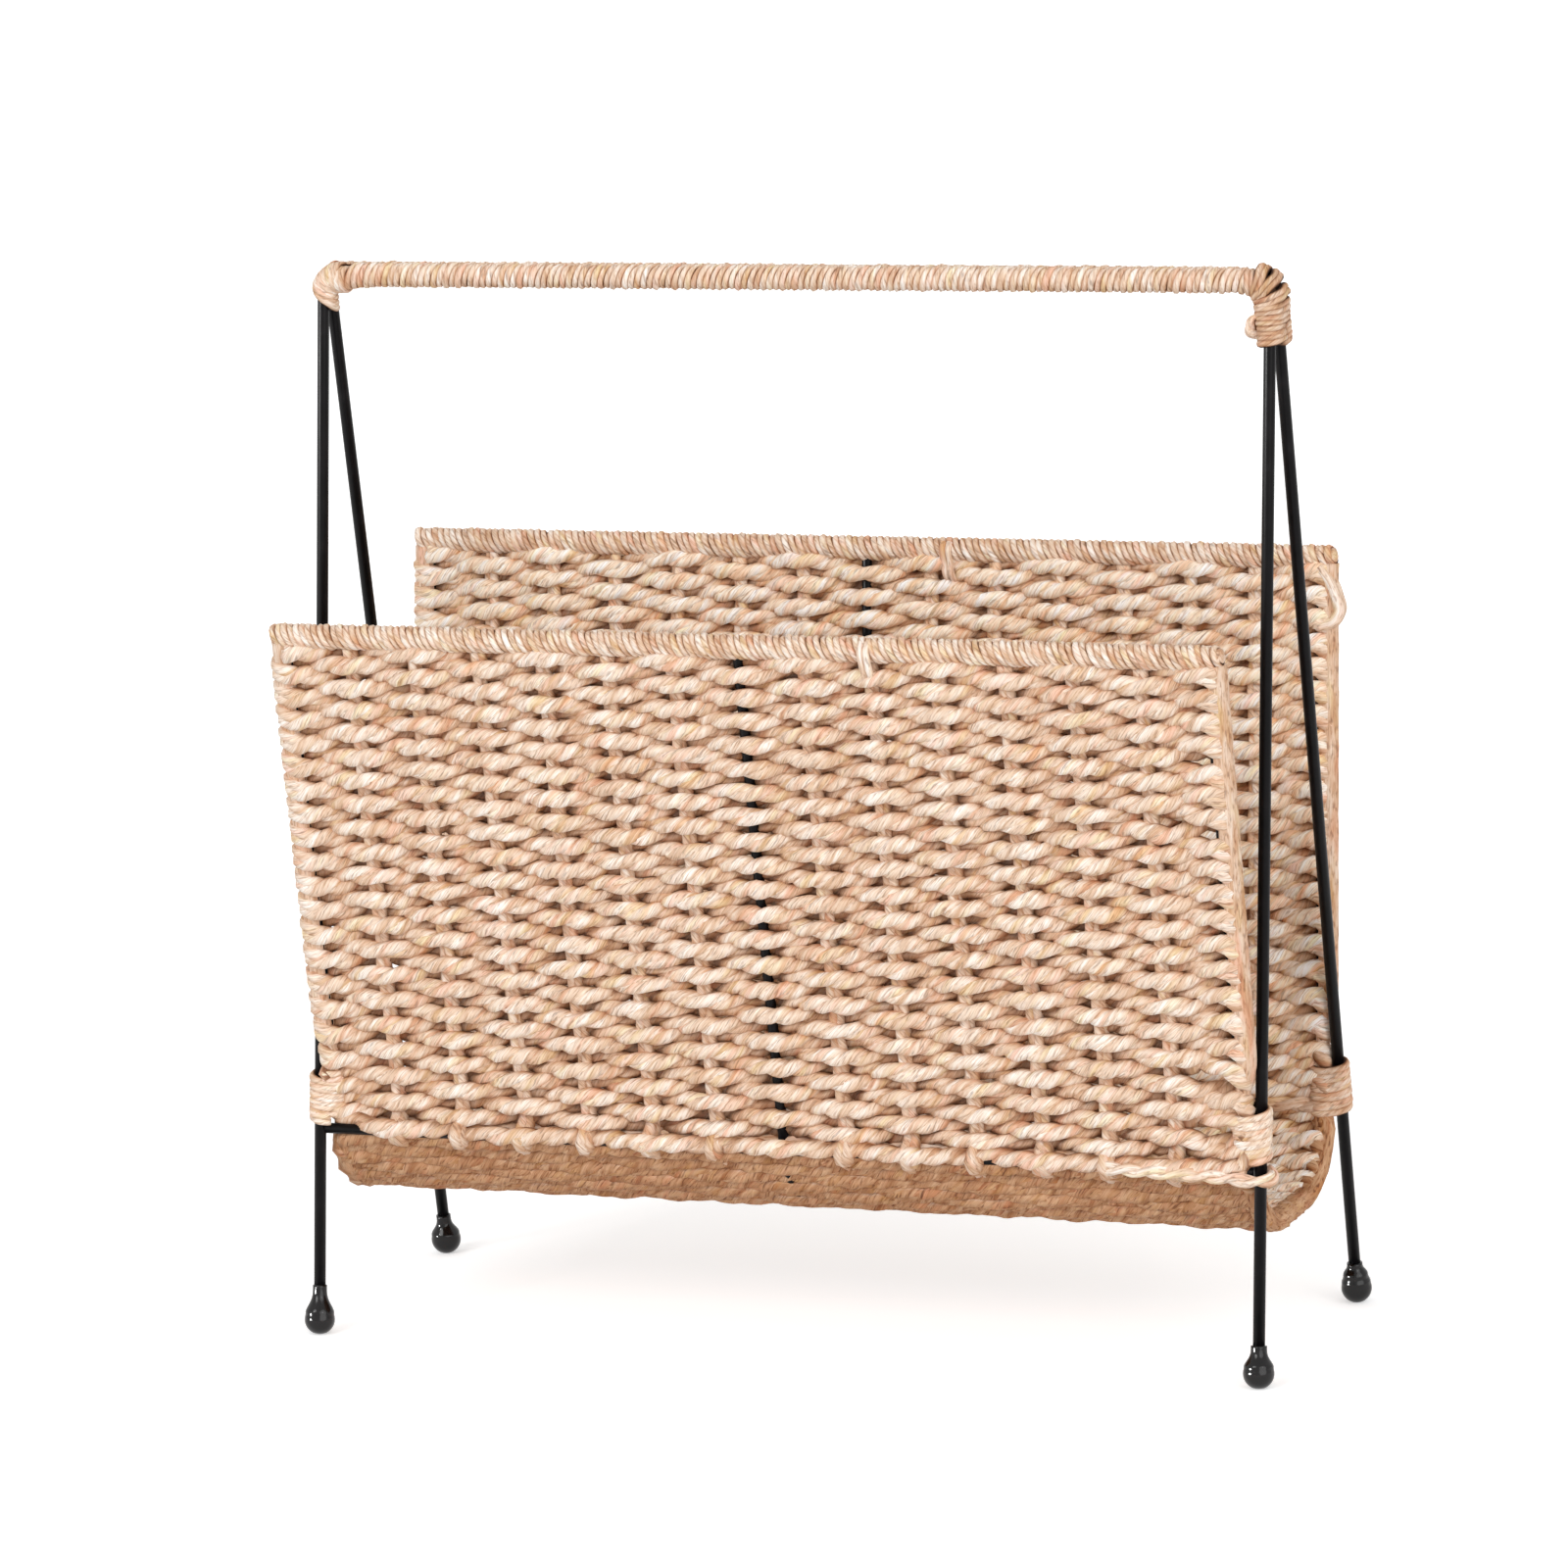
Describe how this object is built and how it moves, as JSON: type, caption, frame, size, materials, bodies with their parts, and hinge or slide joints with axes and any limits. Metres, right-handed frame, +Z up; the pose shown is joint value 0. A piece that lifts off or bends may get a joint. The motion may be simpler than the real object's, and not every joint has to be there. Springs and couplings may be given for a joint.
{
  "type": "magazine basket",
  "caption": "Freestanding magazine basket: a black rod A-frame with a cord-wrapped handle carries an open-ended trough of woven straw cord on small ball feet.",
  "frame": {"origin": "centre of the footprint, on the floor", "axes": "+X along the handle to the right end, +Y from the front wall to the back wall, +Z up"},
  "size_m": [0.3814, 0.147, 0.3978],
  "materials": {
    "black_paint": "satin black paint on bent steel rod",
    "black_dip": "glossy black dipped ball",
    "straw_cord": "twisted two-ply straw-coloured paper cord, pale peach to tan",
    "shaded_cord": "the same cord, a little browner on the underside"
  },
  "bodies": {
    "root": {"leg_frame_front": "black_paint", "leg_frame_back": "black_paint", "hoop_left": "black_paint", "hoop_centre": "black_paint", "hoop_right": "black_paint", "top_rail_front": "black_paint", "top_rail_back": "black_paint", "sill_rail_front": "black_paint", "sill_rail_back": "black_paint", "foot_front_left": "black_dip", "foot_front_right": "black_dip", "foot_back_left": "black_dip", "foot_back_right": "black_dip", "stake_01": "straw_cord", "stake_02": "straw_cord", "stake_03": "straw_cord", "stake_04": "straw_cord", "stake_05": "straw_cord", "stake_06": "straw_cord", "stake_07": "straw_cord", "stake_08": "straw_cord", "stake_09": "straw_cord", "stake_10": "straw_cord", "stake_11": "straw_cord", "stake_12": "straw_cord", "weave_front": "straw_cord", "weave_back": "straw_cord", "handle_wrap": "straw_cord", "rail_wrap_front": "straw_cord", "rail_wrap_back": "straw_cord", "corner_wrap_left": "straw_cord", "corner_wrap_right": "straw_cord", "handle_knot": "straw_cord", "lashing_front_left": "straw_cord", "lashing_front_right": "straw_cord", "lashing_back_left": "straw_cord", "lashing_back_right": "straw_cord", "weave_bottom": "shaded_cord"}
  },
  "joints": []
}
